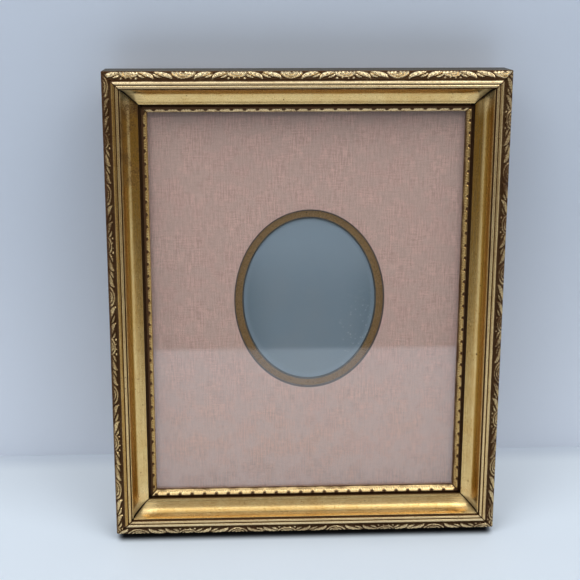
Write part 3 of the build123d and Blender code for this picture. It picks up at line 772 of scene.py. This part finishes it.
def makeRail(name, seed):
    outward, along = (np.array(way) for way in railPlaces[name][:2])
    halfOut, halfLong = railSet["sightHeight"] / 2, railSet["sightWidth"] / 2
    if name in ("left", "right"):
        halfOut, halfLong = halfLong, halfOut
    points, zones = softenCorners(*drawProfile())
    steps = np.linalg.norm(np.diff(points, axis=0, append=points[:1]), axis=1)
    arcLength = np.concatenate(([0], np.cumsum(steps)))
    tangents = np.roll(points, -1, 0) - np.roll(points, 1, 0)
    normals = np.column_stack((-tangents[:, 1], tangents[:, 0])) / np.linalg.norm(tangents, axis=1)[:, None]
    # the seam's points are there twice, and are merged later
    points, normals, zones = (np.concatenate((part, part[:1])) for part in (points, normals, zones))
    outer = points[:, 0].max()
    reach, ends = halfLong + outer, np.array(railSet["endRows"])
    inner = np.linspace(-reach + railSet["endZone"], reach - railSet["endZone"], railSet["rowCount"])
    rows = np.concatenate((-reach + ends, inner, reach - ends[::-1])) / reach
    t = rows[:, None] * (halfLong + points[:, 0])
    fromEnd = (1 - np.abs(rows)) * reach
    raised, paints = railSurface(name, t, points, zones, arcLength, fromEnd, np.random.default_rng(seed))
    s, h = (points[:, axis] + raised * normals[:, axis] for axis in (0, 1))
    t = rows[:, None] * (halfLong + s)
    # the outer corners of the frame are worn round
    sound = outer - railSet["cornerWorn"]
    pastLong, pastOut = np.abs(t) - (halfLong + sound), s - sound
    past = np.hypot(pastLong, pastOut).clip(1e-6)
    drawIn = np.where((pastLong > 0) & (pastOut > 0), np.maximum(pastLong, pastOut) / past, 1.0)
    s = np.where(drawIn < 1, sound + pastOut * drawIn, s)
    t = np.where(drawIn < 1, np.sign(t) * (halfLong + sound + pastLong * drawIn), t)
    spread = (halfOut + s)[..., None] * outward + t[..., None] * along
    places = np.concatenate((spread, h[..., None]), axis=-1) * mm

    bpy.ops.mesh.primitive_grid_add(x_subdivisions=len(points) - 1, y_subdivisions=len(rows) - 1, size=0.2)
    rail = bpy.context.object
    rail.name = rail.data.name = name + "Rail"
    mesh = rail.data
    mesh.vertices.foreach_set("co", places.reshape(-1))
    for label, values in paints.items():
        mesh.attributes.new(label, "FLOAT", "POINT").data.foreach_set("value", values.astype(np.float32).reshape(-1))
    corners = np.zeros(len(mesh.loops), np.int32)
    mesh.loops.foreach_get("vertex_index", corners)
    uv = np.stack((t, np.broadcast_to(arcLength, t.shape)), -1).reshape(-1, 2) / 10
    mesh.uv_layers[0].data.foreach_set("uv", uv[corners].reshape(-1))
    finish = {"side": 1, "back": 2, "rabbet": 2}
    columns = np.array([finish.get(zone, 0) for zone in zones[:-1]], np.int32)
    mesh.polygons.foreach_set("material_index", np.tile(columns, len(rows) - 1))
    for material in (gilt, bronzedSide, rawWood):
        mesh.materials.append(material)
    editAll(rail, mergePoints, ("fill_holes", {"sides": 0}), alignFaces)
    shadeSmooth(rail, 50)
    standUp(rail)
    finishPiece(rail, "frame", [name + "_rail"])
    return rail


rails = [makeRail(name, seed) for seed, name in enumerate(railPlaces, railSet["firstSeed"])]
print("rails carved:", [len(rail.data.polygons) for rail in rails], "faces")


# Mat cloth: stretched over the board and turned back through the oval

matSet = {
    "width": 203.2, "height": 254.0,  # cut size of the pack
    "face": 7.38, "back": 5.6, "thick": 0.26,  # heights over the frame's back
    "turnRound": 0.80,  # how softly the cloth turns over the board's edge
    "turnSteps": (22, 45, 68, 90),  # degrees
    "around": 256, "rings": 14,
}


def ovalSheet(name, oval, face, rings):
    # a flat sheet of the pack's size with the oval cut out: two circles, shaped and bridged
    count = matSet["around"]
    bpy.ops.mesh.primitive_circle_add(vertices=count, radius=0.05)
    sheet = bpy.context.object
    sheet.name = sheet.data.name = name
    editAll(sheet, ("primitive_circle_add", {"vertices": count, "radius": 0.1}))
    co = np.zeros((2 * count, 3))
    sheet.data.vertices.foreach_get("co", co.reshape(-1))
    turn = np.arctan2(co[:, 1], co[:, 0])
    rim = np.column_stack((np.cos(turn), np.sin(turn)))
    half = np.array((matSet["width"], matSet["height"])) / 2
    edge = rim / np.max(np.abs(rim) / half, axis=1)[:, None]
    flat = np.where((np.arange(2 * count) < count)[:, None], rim * oval + windowSet["ovalAt"], edge)
    for corner in (np.array((a, b)) * half for a in (-1, 1) for b in (-1, 1)):
        flat[count + np.argmin(np.linalg.norm(flat[count:] - corner, axis=1))] = corner
    co[:] = np.column_stack((flat, np.full(2 * count, face))) * mm
    sheet.data.vertices.foreach_set("co", co.reshape(-1))
    editAll(sheet, ("bridge_edge_loops", {"number_cuts": rings, "interpolation": "LINEAR", "smoothness": 0.0}))
    faceUp(sheet)
    return sheet


def makeMatCloth():
    turnRound = matSet["turnRound"]
    oval = np.array(windowSet["cloth"]) + turnRound
    cloth = ovalSheet("matCloth", oval, matSet["face"], matSet["rings"])
    # turn the inner edge over the board in small steps, then straight back
    hub = Vector((*windowSet["ovalAt"], 0)) * mm
    selectVertices(cloth, lambda co: math.hypot(*((co - hub)[axis] / oval[axis] / mm for axis in (0, 1))) < 1.0001)
    turned = [(math.sin(angle), 1 - math.cos(angle)) for angle in np.radians(matSet["turnSteps"])]
    depth = (matSet["face"] - matSet["back"]) / turnRound
    reachNow, dropNow = 0.0, 0.0
    for reach, drop in turned + [(1.0, depth)]:
        size = oval - reachNow * turnRound
        smaller = (size - (reach - reachNow) * turnRound) / size
        down = (0, 0, -(drop - dropNow) * turnRound * mm)
        bpy.ops.mesh.extrude_region_move(TRANSFORM_OT_translate={"value": down})
        bpy.ops.transform.resize(value=(smaller[0], smaller[1], 1), center_override=hub)
        reachNow, dropNow = reach, drop
    bpy.ops.object.mode_set(mode="OBJECT")
    faceUp(cloth)
    mesh = cloth.data
    # the weave follows the flat cut, in centimetres
    layer = mesh.uv_layers[0]
    for loop in mesh.loops:
        spot = mesh.vertices[loop.vertex_index].co
        layer.data[loop.index].uv = (spot.x * 100, spot.y * 100)
    applyModifier(cloth, "SOLIDIFY", {"thickness": matSet["thick"] * mm, "offset": -1.0})
    mesh.materials.append(ribbedCloth)
    shadeSmooth(cloth, 40)
    standUp(cloth)
    finishPiece(cloth, "frame", ["mat_cloth"])


linerSet = {
    "face": 5.5, "thick": 1.2, "bevel": 0.8, "rings": 3,
    "cutNear": 1.05, "cutLevel": 0.99,  # faces this near the window, and less level than this, are its cut edge
}


def makeLiner():
    # the gold ring: a thin board whose oval edge is cut on a slant and painted dark as shade
    liner = ovalSheet("ovalRing", np.array(windowSet["ring"]), linerSet["face"], linerSet["rings"])
    applyModifier(liner, "SOLIDIFY", {"thickness": linerSet["thick"] * mm, "offset": -1.0})
    softenEdges(liner, linerSet["bevel"], 2)
    mesh = liner.data
    mesh.materials.append(giltCard)
    mesh.materials.append(shadedCutEdge)
    hub, size = np.array(windowSet["ovalAt"]), np.array(windowSet["ring"])
    for face in mesh.polygons:
        out = math.hypot(*((np.array(face.center[:2]) / mm - hub) / size))
        face.material_index = int(out < linerSet["cutNear"] and face.normal.z < linerSet["cutLevel"])
    shadeSmooth(liner, 30)
    standUp(liner)
    finishPiece(liner, "frame", ["oval_liner"])


makeMatCloth()
makeLiner()
print("mat cloth stretched over its board, gold ring behind it")


# Solids that keep their CAD shape and only get softened edges

softSet = {
    # node: body, slot, finish, width of the softened edge in mm
    "back_panel": ("frame", "backing_board", backingBoard, 0.45),
    "easel_strut": ("strut", "backing_board", backingBoard, 0.6),
    "strut_hinge_plate": ("frame", "brassed_metal", brassed, 0.18),
    "strut_hinge_leaf": ("strut", "brassed_metal", brassed, 0.18),
    "sawtooth_hanger": ("frame", "brassed_metal", brassed, 0.15),
}
for corner in ("left_upper", "left_lower", "right_upper", "right_lower"):
    softSet["turn_button_" + corner] = ("button_" + corner, "brassed_metal", brassed, 0.2)


def softenSolid(node, body, slot, finish, width):
    words = node.split("_")
    name = words[0] + "".join(word.title() for word in words[1:]) + "Soft"
    piece = bpy.data.objects.new(name, nodes[node].data.copy())
    piece.data.name = name
    bpy.context.collection.objects.link(piece)
    editAll(piece, mergePoints, ("dissolve_limited", {"angle_limit": math.radians(1)}))
    softenEdges(piece, width, 3)
    piece.data.materials.clear()
    piece.data.materials.append(finish)
    shadeSmooth(piece, 35)
    finishPiece(piece, body, [node])


for node, settings in softSet.items():
    softenSolid(node, *settings)
print("backing and hardware softened")

# CAD nodes that stay as they are, with their finishes
nodeFinish = {"glass_pane": pictureGlass, "mat_board": matCore, "picture_card": blueCard}
for node in ("corner_v_nails", "hinge_plate_rivets", "hinge_pin", "hanger_nails", "turn_button_screws",
             "strut_rivets"):
    nodeFinish[node] = steel
for node, finish in nodeFinish.items():
    for place in nodes[node].material_slots:
        place.material = finish


# Stage: pale floor, pale wall close behind, soft lamps; sizes in metres

roomSet = {
    # colours all round, low, straight ahead of the frame, underneath and behind, and the directions between them
    "even": (0.40, 0.415, 0.44, 1), "low": (0.38, 0.40, 0.43, 1), "ahead": (0.14, 0.144, 0.15, 1),
    "under": (0.60, 0.64, 0.70, 1), "behind": (0.50, 0.53, 0.57, 1),
    "lowFrom": (0.25, 0.05), "aheadFrom": (-0.48, -0.62), "aheadBelow": (0.19, 0.09), "underFrom": (-0.105, -0.13),
    "behindFrom": (0.0, 0.5),
}

stageSet = {
    "paleFloor": (0.80, 0.86, 0.93, 1), "paleFloorCloud": (0.776, 0.8342, 0.9021, 1), "bent": (0.64, 0.70, 0.79, 1),
    "underFrame": (0.02, 0.02, 0.022, 1), "ahead": roomSet["ahead"],
    # the wall's foot colour is painted bounce light from the floor
    "paleWall": (0.68, 0.73, 0.82, 1), "paleWallCloud": (0.6596, 0.7081, 0.7954, 1), "foot": (0.86, 0.90, 0.98, 1),
    "floorFront": -1.2, "floorBack": 3.0, "halfWide": 3.0, "wallAt": 0.050, "wallHigh": 2.2, "footLightHigh": (0.26, 0.0),
    "bend": (0.030, 0.050), "bendEnd": (0.5, 0.2),  # painted shade where the floor meets the wall
    "fade": (-1.14, -1.2),  # where it darkens ahead
    "gapFront": (-0.0505, -0.0425), "gapBack": (-0.022, -0.030), "gapSide": (0.122, 0.116),  # shade under the frame
}


def drawStage(tree, name):
    # a matt surface, faintly clouded; gives its colour and the coordinates
    clouds = mottle(tree, Scale=3.0)
    feedShader(tree, Roughness=between(tree, clouds, 0.75, 0.85))
    tint = layered(tree, stageSet, name, (clouds, 1, name + "Cloud"))
    return tint, addNode(tree, "SeparateXYZ", {"Vector": objectPlace(tree)}).outputs


def drawFloor(tree):
    tint, parts = drawStage(tree, "paleFloor")
    bend, bendEnd, fade, gapFront, gapBack = (stretch(tree, parts["Y"], *stageSet[name]) for name in
                                              ("bend", "bendEnd", "fade", "gapFront", "gapBack"))
    gapSide = stretch(tree, sums(tree, "ABSOLUTE", parts["X"]), *stageSet["gapSide"])
    gap = times(tree, times(tree, gapFront, gapBack), gapSide)
    feedShader(tree, Base_Color=layered(tree, stageSet, tint, (times(tree, bend, bendEnd), 1, "bent"),
                                        (fade, 1, "ahead"), (gap, 1, "underFrame")))


def drawWall(tree):
    # seen only from the front, so that views from behind stay open
    tint, parts = drawStage(tree, "paleWall")
    # painted light: the wall pales towards its foot, as floor bounce would light it
    foot = stretch(tree, parts["Z"], *stageSet["footLightHigh"])
    feedShader(tree, Base_Color=layered(tree, stageSet, tint, (foot, 1, "foot")))
    seeThrough(tree, addNode(tree, "NewGeometry").outputs["Backfacing"])


def makePlane(name, place, turn, size, draw):
    bpy.ops.mesh.primitive_plane_add(size=1, location=place, rotation=turn)
    plane = bpy.context.object
    plane.name = name
    plane.scale = (*size, 1)
    bpy.ops.object.transform_apply(location=True, rotation=True, scale=True)
    plane.data.materials.append(newMaterial(name, draw))
    return plane


def makeStage():
    wide, deep, high = 2 * stageSet["halfWide"], stageSet["floorBack"] - stageSet["floorFront"], stageSet["wallHigh"]
    floor = makePlane("paleFloor", (0, stageSet["floorFront"] + deep / 2, 0), (0, 0, 0), (wide, deep), drawFloor)
    wall = makePlane("paleWall", (0, stageSet["wallAt"], high / 2), (math.pi / 2, 0, 0), (wide, high), drawWall)
    wall.visible_shadow = wall.visible_diffuse = False


def makeWorld():
    # an even room, dim straight ahead of the frame, and paler behind it
    world = bpy.data.worlds.new("room")
    bpy.context.scene.world = world
    world.use_nodes = True
    tree = world.node_tree
    parts = addNode(tree, "SeparateXYZ", {"Vector": addNode(tree, "TexCoord").outputs["Generated"]}).outputs
    ahead, behind = (stretch(tree, parts["Y"], *roomSet[name]) for name in ("aheadFrom", "behindFrom"))
    low, below, under = (stretch(tree, parts["Z"], *roomSet[name]) for name in ("lowFrom", "aheadBelow", "underFrom"))
    colour = layered(tree, roomSet, "even", (low, 1, "low"), (times(tree, ahead, below), 1, "ahead"),
                     (under, 1, "under"), (behind, 1, "behind"))
    tree.links.new(colour, tree.nodes["Background"].inputs["Color"])


lampSet = {
    # place, aim, size across and deep, power in watts
    "overhead": ((0, -0.47, 1.6), (0, -0.469, 0), 1.8, 1.05, 5.5),
    "keyLeft": ((-0.95, -0.62, 1.75), (0, 0, 0.15), 1.1, 1.1, 9.3),
    "keyRight": ((0.95, -0.62, 1.75), (0, 0, 0.15), 1.1, 1.1, 9.3),
}
lampColour = (0.92, 0.97, 1.0)


def makeLamps():
    for name, (place, aim, across, deep, power) in lampSet.items():
        bpy.ops.object.light_add(type="AREA", location=place)
        lamp = bpy.context.object
        lamp.name = name
        lamp.rotation_euler = (Vector(aim) - Vector(place)).to_track_quat("-Z", "Y").to_euler()
        lamp.data.shape = "RECTANGLE"
        lamp.data.size, lamp.data.size_y = across, deep
        lamp.data.energy, lamp.data.color = power, lampColour


cameraSet = {
    "place": (-0.04817, -0.72118, 0.52394), "turn": (62.8705, -0.6893, -2.6809),  # metres and degrees
    "lens": 81.31, "sensor": 36.0, "clip": 0.01,
}


def makeCamera():
    turn = [math.radians(angle) for angle in cameraSet["turn"]]
    bpy.ops.object.camera_add(location=cameraSet["place"], rotation=turn)
    camera = bpy.context.object
    camera.data.sensor_width, camera.data.lens = cameraSet["sensor"], cameraSet["lens"]
    camera.data.clip_start = cameraSet["clip"]
    bpy.context.scene.camera = camera


makeStage()
makeWorld()
makeLamps()
makeCamera()
bpy.context.scene.view_settings.view_transform = "Standard"
print("stage, lamps and camera set")
